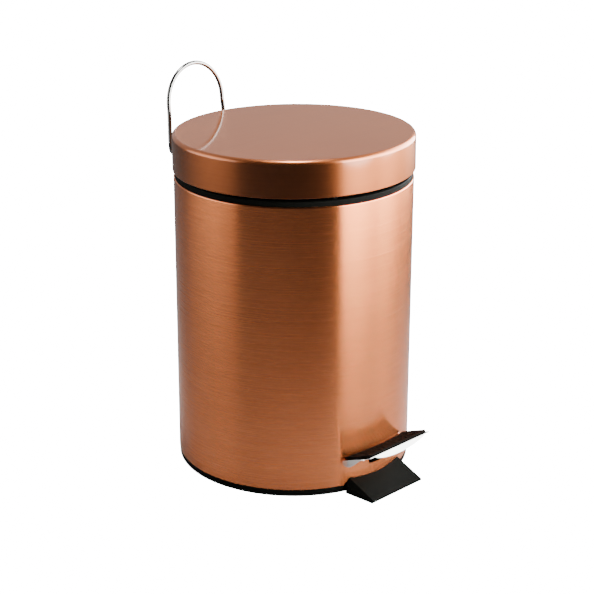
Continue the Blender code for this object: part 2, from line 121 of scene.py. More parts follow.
def addBump(tree, shader, heights):
    # each height is (pattern, strength, depth in millimetres), and they add up
    last = None
    for height, strength, depth in heights:
        bump = addNode(tree, "ShaderNodeBump", Strength=strength, Distance=depth * mm)
        tree.links.new(height, bump.inputs["Height"])
        if last:
            tree.links.new(last, bump.inputs["Normal"])
        last = bump.outputs["Normal"]
    tree.links.new(last, shader.inputs["Normal"])


copperSet = {
    "deep": (0.60, 0.172, 0.054), "light": (0.68, 0.203, 0.068), "grazing": (1.0, 0.74, 0.62),
    "coat": 0.80, "coatRoughness": 0.06, "coatIor": 1.40,
    "grooves": 1300, "grooveBump": 0.035, "bands": 150, "bandBump": 0.014, "bandShare": 0.55,
    "cloudScale": 11.0,
}
bodyFinish = {"shade": 1.0, "stretch": 0.88, "roughness": (0.22, 0.29)}
# lidFinish's side, sideTop and fade keys set painted shade on the lid's upright side
lidFinish = {"shade": 0.83, "stretch": 0.60, "roughness": (0.29, 0.36),
             "side": 0.41, "sideTop": 240.5, "fade": (-1.5, 1.2)}


def paintShadeOnLidSide(tree, colour):
    # painted shade: the lid's upright side below the shoulder is darkened to a share of its colour, fading
    # back to full just under the flat top
    s = lidFinish
    upright = lidLean().to_3x3() @ Vector((0, 0, 1))
    height = addNode(tree, "ShaderNodeVectorMath", operation="DOT_PRODUCT")
    height.inputs[1].default_value = upright
    tree.links.new(addNode(tree, "ShaderNodeTexCoord").outputs["Object"], height.inputs[0])
    hinge = pivotOf("lid_open")
    top = s["sideTop"] - hinge.z + hinge.dot(upright)
    start, end = s["fade"]
    paintedShadeAmount = remap(tree, height.outputs["Value"], (top + start) * mm, (top + end) * mm, s["side"], 1)
    paintedShadeScale = addNode(tree, "ShaderNodeVectorMath", operation="SCALE")
    tree.links.new(colour, paintedShadeScale.inputs[0])
    tree.links.new(paintedShadeAmount, paintedShadeScale.inputs["Scale"])
    return paintedShadeScale.outputs[0]


def brushedCopper(name, finish):
    # lacquered steel with fine grooves along the map's U direction, so reflections smear across them
    s = copperSet
    material, tree, shader = newMaterial(
        name, Metallic=1.0, Anisotropic=finish["stretch"], Anisotropic_Rotation=0.25,
        Coat_Weight=s["coat"], Coat_Roughness=s["coatRoughness"], Coat_IOR=s["coatIor"],
        Specular_Tint=(*s["grazing"], 1))
    along = addNode(tree, "ShaderNodeTangent", direction_type="UV_MAP", uv_map="brush")
    tree.links.new(along.outputs["Tangent"], shader.inputs["Tangent"])
    layout = addNode(tree, "ShaderNodeUVMap", uv_map="brush").outputs["UV"]
    fine = noise(tree, (3.0, s["grooves"], 1), layout, Scale=1.0, Detail=3.0, Roughness=0.7)
    broad = noise(tree, (1.3, s["bands"], 1), layout, Scale=1.0, Detail=2.0, Roughness=0.5)
    clouds = noise(tree, (1, 1, 1), Scale=s["cloudScale"], Detail=3.0, Roughness=0.55)
    mixed = addNode(tree, "ShaderNodeMath", operation="MULTIPLY_ADD")
    mixed.inputs[1].default_value = s["bandShare"]
    tree.links.new(broad, mixed.inputs[0])
    tree.links.new(clouds, mixed.inputs[2])
    deep, light = (tuple(c * finish["shade"] for c in s[tone]) for tone in ("deep", "light"))
    colour = blendColours(tree, remap(tree, mixed.outputs[0], 0.50, 1.02, 0, 1), deep, light)
    # painted shade darkens the lid's side
    if "side" in finish:
        colour = paintShadeOnLidSide(tree, colour)
    tree.links.new(colour, shader.inputs["Base Color"])
    tree.links.new(remap(tree, fine, 0.3, 0.7, *finish["roughness"]), shader.inputs["Roughness"])
    addBump(tree, shader, [(broad, s["bandBump"], 0.2), (fine, s["grooveBump"], 0.1)])
    return material


def mouldedPlastic(name, colour, roughness, gloss, grain=0.12, grainScale=1500.0):
    # spark-eroded plastic or rubber: a fine grain, and wide, faint changes of tone and gloss
    material, tree, shader = newMaterial(name, Specular_IOR_Level=gloss)
    fine = noise(tree, (1, 1, 1), Scale=grainScale, Detail=2.0, Roughness=0.6)
    wide = noise(tree, (1, 1, 1), Scale=38.0, Detail=3.0, Roughness=0.6)
    darker = tuple(c * 0.72 for c in colour)
    mottled = blendColours(tree, remap(tree, wide, 0.35, 0.65, 0, 1), darker, colour)
    tree.links.new(mottled, shader.inputs["Base Color"])
    tree.links.new(remap(tree, wide, 0.3, 0.7, *roughness), shader.inputs["Roughness"])
    addBump(tree, shader, [(wide, 0.05, 0.3), (fine, grain, 0.06)])
    return material


def plainMetal(name, colour, roughness, lines=(400, 400, 400), strength=0.02):
    # chrome or zinc: faint smudges vary the gloss, and lines are the drawing or rolling marks
    material, tree, shader = newMaterial(name, Metallic=1.0)
    marks = noise(tree, lines, Scale=1.0, Detail=3.0, Roughness=0.6)
    smudge = noise(tree, (1, 1, 1), Scale=60.0, Detail=4.0, Roughness=0.65)
    duller = tuple(c * 0.88 for c in colour)
    smudged = blendColours(tree, remap(tree, smudge, 0.35, 0.7, 0, 1), colour, duller)
    tree.links.new(smudged, shader.inputs["Base Color"])
    tree.links.new(remap(tree, smudge, 0.3, 0.75, *roughness), shader.inputs["Roughness"])
    addBump(tree, shader, [(marks, strength, 0.05)])
    return material


plasticSet = {
    "blackPlastic": {"colour": (0.0044, 0.0048, 0.0040), "roughness": (0.42, 0.55), "gloss": 0.018},
    "bucketPlastic": {"colour": (0.040, 0.040, 0.042), "roughness": (0.44, 0.58), "gloss": 0.4,
                      "grain": 0.25, "grainScale": 900.0},
    "padRubber": {"colour": (0.008, 0.007, 0.006), "roughness": (0.60, 0.75), "gloss": 0.008, "grain": 0.3},
}
metalSet = {
    "chrome": {"colour": (0.90, 0.90, 0.87), "roughness": (0.03, 0.09)},
    # the handle's chrome has a dark base colour: painted shade, standing in for the dark room that its legs
    # reflect
    "wireChromePaintedShade": {"colour": (0.20, 0.20, 0.19), "roughness": (0.05, 0.12)},
    "zincSteel": {"colour": (0.62, 0.62, 0.61), "roughness": (0.26, 0.42), "lines": (250, 250, 250),
                  "strength": 0.08},
}

print("materials")
copper = brushedCopper("brushedCopper", bodyFinish)
lidCopper = brushedCopper("lidCopper", lidFinish)
blackPlastic, bucketPlastic, padRubber = (mouldedPlastic(name, **s) for name, s in plasticSet.items())
chrome, wireChromePaintedShade, zincSteel = (plainMetal(name, **s) for name, s in metalSet.items())


# Shapes are drawn as bmeshes in millimetres, and become objects in looseObject
def bow(centre, radius, start, end, steps):
    # points of an arc, in degrees
    turns = [math.radians(start + (end - start) * i / steps) for i in range(steps + 1)]
    return [(centre[0] + radius * math.cos(t), centre[1] + radius * math.sin(t)) for t in turns]


def lathe(outline, steps, place=None):
    # spins a closed (radius, z) outline round Z, and then moves the result to its place
    bm = bmesh.new()
    points = [bm.verts.new((radius, 0, z)) for radius, z in outline]
    for start, end in zip(points, points[1:] + points[:1]):
        if start.co.x > 1e-6 or end.co.x > 1e-6:
            bm.edges.new((start, end))
    bmesh.ops.spin(bm, geom=bm.verts[:] + bm.edges[:], cent=(0, 0, 0), axis=(0, 0, 1),
                   angle=math.tau, steps=steps, use_merge=True)
    bmesh.ops.remove_doubles(bm, verts=bm.verts, dist=1e-4)
    if place:
        bmesh.ops.transform(bm, matrix=place, verts=bm.verts)
    return bm


def slab(outline, low, high, along="Z"):
    # a flat outline, extruded along one axis from low to high
    spots = {"X": lambda a, b: (low, a, b), "Y": lambda a, b: (a, low, b), "Z": lambda a, b: (a, b, low)}
    way = Vector([(high - low) if along == letter else 0 for letter in "XYZ"])
    bm = bmesh.new()
    face = bm.faces.new([bm.verts.new(spots[along](a, b)) for a, b in outline])
    moved = bmesh.ops.extrude_face_region(bm, geom=[face], use_keep_orig=True)["geom"]
    bmesh.ops.translate(bm, verts=[v for v in moved if isinstance(v, bmesh.types.BMVert)], vec=way)
    return bm


def brick(low, high):
    return slab([(low[0], low[1]), (high[0], low[1]), (high[0], high[1]), (low[0], high[1])], low[2], high[2])


def cheek(points, low, high):
    # the convex plate round (y, z) points, from x = low to x = high
    bm = bmesh.new()
    for x in (low, high):
        for y, z in points:
            bm.verts.new((x, y, z))
    found = bmesh.ops.convex_hull(bm, input=bm.verts)
    inner = {v for v in found["geom_interior"] if isinstance(v, bmesh.types.BMVert)}
    bmesh.ops.delete(bm, geom=list(inner), context="VERTS")
    bmesh.ops.dissolve_limit(bm, angle_limit=math.radians(0.5), verts=bm.verts, edges=bm.edges)
    return bm


def bar(radius, length, place, chamfer=0.2):
    half = length / 2
    outline = [(0, -half), (radius - chamfer, -half), (radius, chamfer - half)]
    outline += [(radius, half - chamfer), (radius - chamfer, half), (0, half)]
    return lathe(outline, roundSteps, place)


def drill(radius, length, place, steps=roundSteps):
    half = length / 2
    return lathe([(0, -half), (radius, -half), (radius, half), (0, half)], steps, place)


def at(x, y, z):
    return Matrix.Translation((x, y, z))


def acrossX(x, y, z):
    return at(x, y, z) @ Matrix.Rotation(math.radians(90), 4, "Y")


def rearward(x, y, z):
    return at(x, y, z) @ Matrix.Rotation(math.radians(-90), 4, "X")


def looseObject(name, bm):
    bmesh.ops.recalc_face_normals(bm, faces=bm.faces)
    bmesh.ops.scale(bm, vec=(mm, mm, mm), verts=bm.verts)
    mesh = bpy.data.meshes.new(name)
    bm.to_mesh(mesh)
    bm.free()
    piece = bpy.data.objects.new(name, mesh)
    bpy.context.collection.objects.link(piece)
    return piece


def bake(piece):
    # the modifiers' result becomes the piece's own mesh
    bpy.context.view_layer.update()
    ready = bpy.data.meshes.new_from_object(piece.evaluated_get(bpy.context.evaluated_depsgraph_get()))
    piece.modifiers.clear()
    piece.data = ready
    return piece


def combine(piece, helpers, operation):
    # a helper is a bmesh, or an object that is ready; either is used up
    made = [looseObject("helper", bm) if isinstance(bm, bmesh.types.BMesh) else bm for bm in helpers]
    for helper in made:
        modifier = piece.modifiers.new("combine", "BOOLEAN")
        modifier.operation = operation
        modifier.solver = "EXACT"
        modifier.object = helper
    bake(piece)
    for helper in made:
        bpy.data.objects.remove(helper)


def cut(piece, *helpers):
    combine(piece, helpers, "DIFFERENCE")


def join(piece, *helpers):
    combine(piece, helpers, "UNION")


def soften(piece, width, segments=2, angle=35):
    modifier = piece.modifiers.new("edges", "BEVEL")
    modifier.width = width * mm
    modifier.segments = segments
    modifier.limit_method = "ANGLE"
    modifier.angle_limit = math.radians(angle)
    return bake(piece)


def wirePiece(name, points, radius, sides=6):
    # a round wire through the points, made a closed mesh with its end caps welded on
    curve = bpy.data.curves.new(name, "CURVE")
    curve.dimensions = "3D"
    curve.bevel_depth = radius * mm
    curve.bevel_resolution = sides
    curve.use_fill_caps = True
    spline = curve.splines.new("POLY")
    spline.points.add(len(points) - 1)
    for point, place in zip(spline.points, points):
        point.co = (*(Vector(place) * mm), 1)
    drawn = bpy.data.objects.new("drawn", curve)
    bpy.context.collection.objects.link(drawn)
    bpy.context.view_layer.update()
    bm = bmesh.new()
    bm.from_mesh(bpy.data.meshes.new_from_object(drawn.evaluated_get(bpy.context.evaluated_depsgraph_get())))
    bpy.data.objects.remove(drawn)
    bmesh.ops.remove_doubles(bm, verts=bm.verts, dist=1e-6)
    bmesh.ops.scale(bm, vec=(1 / mm, 1 / mm, 1 / mm), verts=bm.verts)
    return looseObject(name, bm)


def brushMap(piece):
    # U runs along the grooves: round the sides, and straight across the flat top
    layer = piece.data.uv_layers.new(name="brush")
    vertices, loops = piece.data.vertices, piece.data.loops
    patch = 0.25
    for face in piece.data.polygons:
        flat = abs(face.normal.z) > 0.99
        middle = math.atan2(face.center.y, face.center.x) / math.tau
        for loop in face.loop_indices:
            place = vertices[loops[loop].vertex_index].co
            if flat:
                layer.data[loop].uv = (place.x / patch, place.y / patch)
            else:
                around = math.atan2(place.y, place.x) / math.tau
                layer.data[loop].uv = (around - round(around - middle), place.z / patch)


def finishPiece(piece, material, body, nodes, smoothAngle=32, brushed=False):
    # shades the piece and gives it its material, ties it to its body, and hides the CAD nodes that it stands
    # for
    piece.data.materials.clear()
    piece.data.materials.append(material)
    if brushed:
        brushMap(piece)
    piece.data.shade_smooth()
    piece.data.set_sharp_from_angle(angle=math.radians(smoothAngle))
    modifier = piece.modifiers.new("normals", "WEIGHTED_NORMAL")
    modifier.keep_sharp = True
    bake(piece)
    if body == "lid":
        piece.data.transform(lidLean())
    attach(piece, body)
    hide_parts(*nodes)


def bodyRadius():
    return spanOf("body_shell")[1].x


# Body tube, with its rolled top edge and the slot for the pedal's arm
bodySet = {"sheet": 0.7, "edge": 0.9, "fold": 2.2, "easing": 0.2, "steps": 256,
           "slot": {"half": 9.5, "low": 16.6, "high": 28.9, "corner": 2.0}, "slotCut": (-95, -75)}


def roundedFrame(half, low, high, corner):
    spots = []
    for side, z, start in ((1, low, 270), (1, high, 0), (-1, high, 90), (-1, low, 180)):
        centre = (side * (half - corner), z + (corner if z == low else -corner))
        spots += bow(centre, corner, start, start + 90, 6)
    return spots


def makeBodyTube():
    s = bodySet
    low, high = spanOf("body_shell")
    outer, bottom, top = high.x, low.z, high.z
    sheet, edge, fold, easing = s["sheet"], s["edge"], outer - s["fold"], s["easing"]
    inner = outer - sheet
    outline = [(inner, bottom + easing), (inner + easing, bottom), (outer - easing, bottom),
               (outer, bottom + easing)]
    outline += bow((outer - edge, top - edge), edge, 0, 90, 8)
    outline += [(fold, top), (fold, top - sheet), (inner, top - 2 * sheet)]
    tube = looseObject("bodyTube", lathe(outline, s["steps"]))
    cut(tube, slab(roundedFrame(**s["slot"]), *s["slotCut"], "Y"))
    finishPiece(tube, copper, "bin", ["body_shell"], brushed=True)


# Lid skin: one deep pressing with a rounded shoulder and a rolled lower hem
lidSet = {"sheet": 0.7, "shoulder": 3.0, "hem": 0.55, "hemTurn": 2.2, "steps": 256,
          "notch": {"half": 10.3, "front": 78.5, "top": 239.2}}


def notchCutter(half, front, top):
    # clears the hinge bracket at the back of the lid, from below
    return brick((-half, front, 200), (half, 100, top))


def makeLidSkin():
    s = lidSet
    low, high = spanOf("lid_skin")
    outer, bottom, top = high.x, low.z, high.z
    sheet, hem, shoulder = s["sheet"], s["hem"], s["shoulder"]
    inner, hemZ = outer - sheet, bottom + hem
    centre = (outer - shoulder, top - shoulder)
    outline = [(inner - 0.3, bottom + s["hemTurn"])] + bow((inner + 0.15, hemZ), hem, 190, 270, 4)
    outline += bow((outer - hem, hemZ), hem, 270, 360, 5) + bow(centre, shoulder, 0, 90, 16)
    outline += [(60, top), (30, top), (0, top), (0, top - sheet)]
    outline += bow(centre, shoulder - sheet, 90, 0, 10) + [(inner, bottom + 3)]
    skin = looseObject("lidSkin", lathe(outline, s["steps"]))
    cut(skin, notchCutter(**s["notch"]))
    finishPiece(skin, lidCopper, "lid", ["lid_skin"], brushed=True)


# Black collar that closes the top of the body and carries the bucket's rim
collarSet = {"skirtOut": 83.7, "skirtIn": 82.3, "foot": 200, "seat": 77.5, "ledge": 213.9, "mouth": 75.0,
             "rounding": 0.8, "rodHole": 2.0}


def makeCollar():
    s = collarSet
    high = spanOf("rim_collar")[1]
    rim, top, low = high.x, high.z, spanOf("body_shell")[1].z + 0.3
    outside, inside, foot = s["skirtOut"], s["skirtIn"], s["foot"]
    seat, ledge, mouth, rounding = s["seat"], s["ledge"], s["mouth"], s["rounding"]
    outline = [(mouth + 0.2, low), (inside, low), (inside, foot + 0.3), (inside + 0.3, foot)]
    outline += [(outside - 0.3, foot), (outside, foot + 0.4), (outside, low), (rim - 0.2, low)]
    outline.append((rim, low + 0.3))
    outline += bow((rim - rounding, top - rounding), rounding, 0, 90, 5)
    outline += [(seat + 0.5, top), (seat, top - 0.3), (seat, ledge), (mouth + 0.3, ledge)]
    outline += [(mouth, ledge - 0.3), (mouth, low + 0.2)]
    collar = looseObject("rimCollar", lathe(outline, ringSteps))
    cut(collar, drill(s["rodHole"], 20, at(0, rodY, low)))
    finishPiece(collar, blackPlastic, "bin", ["rim_collar"])


# Black base: ring, floor, tongue against tipping and the two ears for the pedal's pin
baseSet = {"ringInside": 80.0, "under": 1.5, "floor": 4.0, "ringTop": 5.0, "rounding": 1.2, "spigot": 84.0,
           "spigotTop": 14.0, "spigotWall": 1.6, "rib": (40, 42), "ribDepth": 0.8,
           "earX": (9.5, 12.5), "earHalf": 6.0, "earTop": 19.5, "earFoot": 1.5, "pinHole": 2.3,
           "rodPocket": ((-12, 78, 6), (12, 90, 20))}
# each end of the tongue: its y, how far it stands to the side, and its (half width, height) from the table up
tongueSet = {"back": (-81.5, -0.8, ((29.3, 0), (28.8, 5.8), (25.3, 10.4))),
             "front": (-106.0, -2.7, ((26.4, 0), (26.2, 1.3), (25.4, 2.0))), "edge": 0.45}


def makeTongue():
    # bridged between its two ends, cut round where it meets the body, and softened at the edges
    s = tongueSet
    bm = bmesh.new()
    ends = []
    for y, aside, half in (s["back"], s["front"]):
        section = [(-x, z) for x, z in half] + [(x, z) for x, z in reversed(half)]
        ends.append(bm.faces.new([bm.verts.new((x + aside, y, z)) for x, z in section]))
    bmesh.ops.bridge_loops(bm, edges=[edge for end in ends for edge in end.edges])
    tongue = looseObject("tongue", bm)
    by, foot = bodyRadius() + 0.3, baseSet["ringTop"]
    cut(tongue, lathe([(0, foot), (by, foot), (by, 30), (0, 30)], ringSteps))
    return soften(tongue, s["edge"], 3, 20)


def makeBase():
    s = baseSet
    rim, under, floor, rounding = spanOf("base_moulding")[1].x, s["under"], s["floor"], s["rounding"]
    spigot, top, groove, ringTop = s["spigot"], s["spigotTop"], s["ringInside"], s["ringTop"]
    wall = spigot - s["spigotWall"]
    ribIn, ribOut = s["rib"]
    ribFoot = under - s["ribDepth"]
    outline = [(0, under), (ribIn, under), (ribIn + 0.4, ribFoot), (ribOut - 0.4, ribFoot), (ribOut, under)]
    outline += [(groove, under), (groove + 0.3, 0.2), (groove + 0.6, 0)]
    outline += bow((rim - rounding, rounding), rounding, 270, 360, 5)
    outline += [(rim, ringTop - 0.3), (rim - 0.3, ringTop), (spigot, ringTop), (spigot, top - 0.5)]
    outline += [(spigot - 0.5, top), (wall, top), (wall, floor), (0, floor)]
    base = looseObject("baseMoulding", lathe(outline, ringSteps))
    pivot, half, foot = pivotOf("pedal_press"), s["earHalf"], s["earFoot"]
    ears = []
    for side in (-1, 1):
        shape = [(pivot.y - half - foot, floor - 1), (pivot.y + half + foot, floor - 1)]
        shape += [(pivot.y + half, floor + foot)] + bow((pivot.y, s["earTop"] - half), half, 0, 180, 24)
        shape.append((pivot.y - half, floor + foot))
        ears.append(slab(shape, *sorted(side * x for x in s["earX"]), "X"))
    join(base, *ears)
    cut(base, drill(s["pinHole"], 40, acrossX(0, pivot.y, pivot.z)), brick(*s["rodPocket"]))
    join(base, makeTongue())
    finishPiece(base, blackPlastic, "bin", ["base_moulding"])


# Pedal: one pressed lever, chromed, with a ribbed rubber pad. Its tread is drawn flat and then sloped
pedalSet = {"front": (-105.5, 35.5), "slope": 21.5, "half": 32.5, "sheet": 1.6, "flange": 1.2, "corner": 2.0,
            "edge": 0.4, "bodyGap": 1.5, "skirt": 12, "rear": -74.0, "pocketRear": -70.0}
flangeSet = {"end": 1.2, "middle": 5.2, "reach": 26.5, "side": 5.0, "notch": 7.5, "left": 0.45, "steps": 40}
armSet = {"half": 8.0, "top": 11.5, "tail": 81.5, "sleeve": 4.2, "pinHole": 2.3, "tabX": (-5.0, -3.4),
          "tabRadius": 4.5, "rodHole": 2.6, "edge": 0.25,
          "besideTab": (((-3, 76, 5), (3, 90, 20)), ((-9, 76, 5), (-5.3, 90, 20)))}
padSet = {"half": 30.8, "front": -104.2, "corner": 3.6, "thick": 1.8, "lift": 0.3, "bodyGap": 1.7,
          "border": 2.4, "ribPitch": 4.0, "groove": 1.6, "grooveDepth": 0.8, "edge": 0.28}


def treadZ(y):
    front, height = pedalSet["front"]
    return height - (y - front) * math.tan(math.radians(pedalSet["slope"]))


def slopeUp(piece):
    # lifts a piece that was drawn on z = 0 onto the tread's slope
    slant = Matrix.Identity(4)
    slant[2][1] = -math.tan(math.radians(pedalSet["slope"]))
    slant[2][3] = treadZ(0) * mm
    piece.data.transform(slant)
    return piece


def treadPlan(half, front, corner, rear=pedalSet["rear"]):
    spots = [(half, rear)] + bow((half - corner, front + corner), corner, 0, -90, 8)
    return spots + bow((corner - half, front + corner), corner, -90, -180, 8) + [(-half, rear)]


def bodyCutter(gap):
    # keeps the tread and the pad this far off the body
    return drill(bodyRadius() + gap, 80, at(0, 0, 0), ringSteps)


def flangeCutters(front, half, sheet):
    # what is cut away below the tread: a smile along the front edge and a crescent along each side
    s = flangeSet
    shares = [i / s["steps"] for i in range(s["steps"] + 1)]
    left, reach, low = s["left"], s["reach"], -15
    outer, end = half + 1, -math.sqrt(bodyRadius() ** 2 - half ** 2)
    smile = [(reach * (2 * t - 1), s["end"] - sheet - s["middle"] * (1 - (2 * t - 1) ** 2) ** 0.7)
             for t in shares]
    shape = [(-outer, -left), (-reach, -left)] + smile
    shape += [(reach, -left), (outer, -left), (outer, low), (-outer, low)]
    start = front + s["notch"] - 0.5
    crescent = [(start + (end - start) * t, -left - s["side"] * math.sin(math.pi * t ** 1.35) ** 0.8)
                for t in shares]
    under = [(start, low)] + crescent + [(-70, -left), (-70, low)]
    sides = [slab(under, x, x + 4, "X") for x in (-half - 2, half - 2)]
    return [slab(shape, front - 1, front + s["notch"], "Y")] + sides


def makeTread():
    s = pedalSet
    front, half, sheet, wall, skirt = s["front"][0], s["half"], s["sheet"], s["flange"], s["skirt"]
    tread = looseObject("tread", slab(treadPlan(half, front, s["corner"]), -skirt, 0))
    inside = treadPlan(half - wall, front + wall, s["corner"] - wall, s["pocketRear"])
    pocket = slab(inside, -skirt - 2, -sheet)
    cut(tread, pocket, *flangeCutters(front, half, sheet), bodyCutter(s["bodyGap"]))
    return slopeUp(soften(tread, s["edge"], 3, 40))


def makePedal():
    s = armSet
    pivot, sheet, half = pivotOf("pedal_press"), pedalSet["sheet"], s["half"]
    top, tail, foot = s["top"], s["tail"], spanOf("push_rod")[0].z + 1.5
    hole, tabLow, tabHigh = s["rodHole"], *s["tabX"]
    upper = [(-92, treadZ(-92) - 0.2), (-66, treadZ(-66)), (-58, treadZ(-58) - 0.3), (-50, top + 0.8)]
    upper += [(-44, top), (tail, top)]
    strap = upper + [(y, z - sheet) for y, z in reversed(upper)]
    arm = looseObject("pedalLever", slab(strap, -half, half, "X"))
    join(arm, bar(s["sleeve"], 2 * half, acrossX(0, pivot.y, pivot.z)))
    tab = [(74, top - sheet), (tail, top - sheet), (tail, foot)]
    tab += [(min(y, tail), z) for y, z in bow((rodY, foot), s["tabRadius"], 0, 180, 24)]
    join(arm, cheek(tab, tabLow, tabHigh))
    cut(arm, drill(s["pinHole"], 30, acrossX(0, pivot.y, pivot.z)),
        drill(hole, 3.2, acrossX((tabLow + tabHigh) / 2, rodY, foot)),
        *[brick(*gap) for gap in s["besideTab"]])
    soften(arm, s["edge"], 2, 40)
    join(arm, makeTread())
    finishPiece(arm, chrome, "pedal", ["pedal_lever"], smoothAngle=38)


def makePad():
    s = padSet
    half, front, top, border = s["half"], s["front"], s["lift"] + s["thick"], s["border"]
    pitch, groove, floor = s["ribPitch"], s["groove"] / 2, s["lift"] + s["thick"] - s["grooveDepth"]
    pad = looseObject("pedalPad", slab(treadPlan(half, front, s["corner"]), s["lift"], top))
    cut(pad, bodyCutter(s["bodyGap"]))
    count = int((half - border) / pitch)
    grooves = []
    for i in range(-count, count + 1):
        x = i * pitch
        rear = -math.sqrt((bodyRadius() + s["bodyGap"] + border) ** 2 - x * x)
        start = front + border + (0.8 if abs(i) == count else 0)
        if rear > start + 2:
            grooves.append(brick((x - groove, start, floor), (x + groove, rear, 10)))
    cut(pad, *grooves)
    slopeUp(soften(pad, s["edge"], 2, 40))
    finishPiece(pad, padRubber, "pedal", ["pedal_pad"], smoothAngle=40)


# Pins, washers and screws
pinSet = {"pedalPivotPin": ("pedal_pivot_pin", "bin", 0.35), "lidHingePin": ("lid_hinge_pin", "bin", 0.3),
          "crankPin": ("crank_pin", "lid", 0.3)}
washerSet = {"bore": 2.3, "edge": 0.15}
screwSet = {"x": 11, "core": 1.05, "thread": 1.3, "turns": 7, "length": 12.5,
            "crossHalf": 1.6, "crossWide": 0.3, "crossDepth": 0.9,
            "head": ((0, 0), (1.6, 0.1), (2.6, 0.5), (3.0, 1.1), (3.0, 1.6))}


def makePins():
    for name, (node, body, chamfer) in pinSet.items():
        low, high = spanOf(node)
        middle, size = (low + high) / 2, high - low
        pin = looseObject(name, bar(size.z / 2, size.x, acrossX(*middle), chamfer))
        finishPiece(pin, zincSteel, body, [node])


def makeWashers():
    inner, edge = washerSet["bore"], washerSet["edge"]
    for side in ("left", "right"):
        low, high = spanOf(f"pivot_washer_{side}")
        middle, half, outer = (low + high) / 2, (high.x - low.x) / 2, (high.z - low.z) / 2
        outline = [(inner, -half), (outer - edge, -half), (outer, edge - half), (outer, half - edge)]
        outline += [(outer - edge, half), (inner, half)]
        washer = looseObject("pivotWasher" + side.title(), lathe(outline, roundSteps, acrossX(*middle)))
        finishPiece(washer, zincSteel, "bin", [f"pivot_washer_{side}"])


def makeScrews():
    s = screwSet
    thread, core = s["thread"], s["core"]
    arms = ((s["crossHalf"], s["crossWide"]), (s["crossWide"], s["crossHalf"]))
    for side, x in (("left", -s["x"]), ("right", s["x"])):
        low, high = spanOf(f"hinge_screw_{side}")
        place = rearward(x, low.y, (low.z + high.z) / 2)
        outline = [*s["head"], (thread, s["head"][-1][1])]
        for turn in range(s["turns"]):
            outline += [(thread, 2.4 + turn), (core, 2.9 + turn)]
        outline += [(1.2, s["length"] - 1.1), (0, s["length"])]
        screw = looseObject("hingeScrew" + side.title(), lathe(outline, 32, place))
        cross = [brick((-a, -b, -1), (a, b, s["crossDepth"])) for a, b in arms]
        for blade in cross:
            bmesh.ops.transform(blade, matrix=place, verts=blade.verts)
        cut(screw, *cross)
        finishPiece(screw, zincSteel, "bin", [f"hinge_screw_{side}"])


# Push rod with its cap and clip, and the two guides it slides in
rodSet = {"radius": 1.5, "bend": 2.0, "play": 0.3}
capSet = {"radius": 3.0, "tall": 6.5, "roof": 1.7, "rounding": 0.8}
clipSet = {"radius": 3.1, "thick": 1.0, "split": 1.0, "edge": 0.12}
guideSet = {"bore": 1.9, "edge": 0.6}


def makeRod():
    low, high = spanOf("push_rod")
    radius, bend = rodSet["radius"], rodSet["bend"]
    foot, bore = low.z + radius, radius + rodSet["play"]
    points = [(low.x, rodY, foot)]
    points += [(x, rodY, z) for x, z in bow((-bend, foot + bend), bend, 270, 360, 12)]
    rod = wirePiece("pushRod", points + [(0, rodY, high.z)], radius, 8)
    finishPiece(rod, zincSteel, "rod", ["push_rod"])

    outer, rounding, top = capSet["radius"], capSet["rounding"], spanOf("rod_cap")[1].z
    roof, skirt = top - capSet["roof"], top - capSet["tall"]
    outline = [(0, roof), (0, top)] + bow((outer - rounding, top - rounding), rounding, 90, 0, 5)
    outline += [(outer, skirt + 0.2), (outer - 0.2, skirt), (bore, skirt), (bore, roof)]
    cap = looseObject("rodCap", lathe(outline, roundSteps, at(0, rodY, 0)))
    finishPiece(cap, blackPlastic, "rod", ["rod_cap"])

    clipLow, clipHigh = spanOf("rod_clip")
    outer, half, split = clipSet["radius"], clipSet["thick"] / 2, clipSet["split"]
    place = acrossX((clipLow.x + clipHigh.x) / 2, rodY, foot)
    outline = [(bore, -half), (outer, -half), (outer, half), (bore, half)]
    clip = looseObject("rodClip", lathe(outline, roundSteps, place))
    cut(clip, brick((-10, rodY - split, foot - 5), (0, rodY + split, foot)))
    soften(clip, clipSet["edge"])
    finishPiece(clip, zincSteel, "rod", ["rod_clip"])


def makeGuides():
    for word in ("lower", "upper"):
        low, high = spanOf(f"rod_guide_{word}")
        guide = looseObject("rodGuide" + word.title(), brick(low, high))
        soften(guide, guideSet["edge"], 3)
        cut(guide, drill(guideSet["bore"], 20, at(0, rodY, (low.z + high.z) / 2)))
        finishPiece(guide, blackPlastic, "bin", [f"rod_guide_{word}"])


# Hinge housing behind the body: a hollow box with two ears for the lid's pin and two bosses for the screws
housingSet = {"wall": 2.5, "shelf": 4.0, "rear": 10.0, "rounding": 1.4, "edge": 0.15,
              "front": 80.0, "top": 226.0, "shoulder": 4, "waist": ((93.5, 0), (97.5, 3)), "heel": (197, 200),
              "lidGap": 0.4, "bodyGap": 0.3}
earSet = {"inner": 6.0, "outer": 9.0, "radius": 4.5, "foot": (87, 97.5), "pinHole": 1.8, "wireHole": 1.9}
bossSet = {"radius": 3.6, "length": 16, "y": 88, "z": 184, "hole": 1.6}


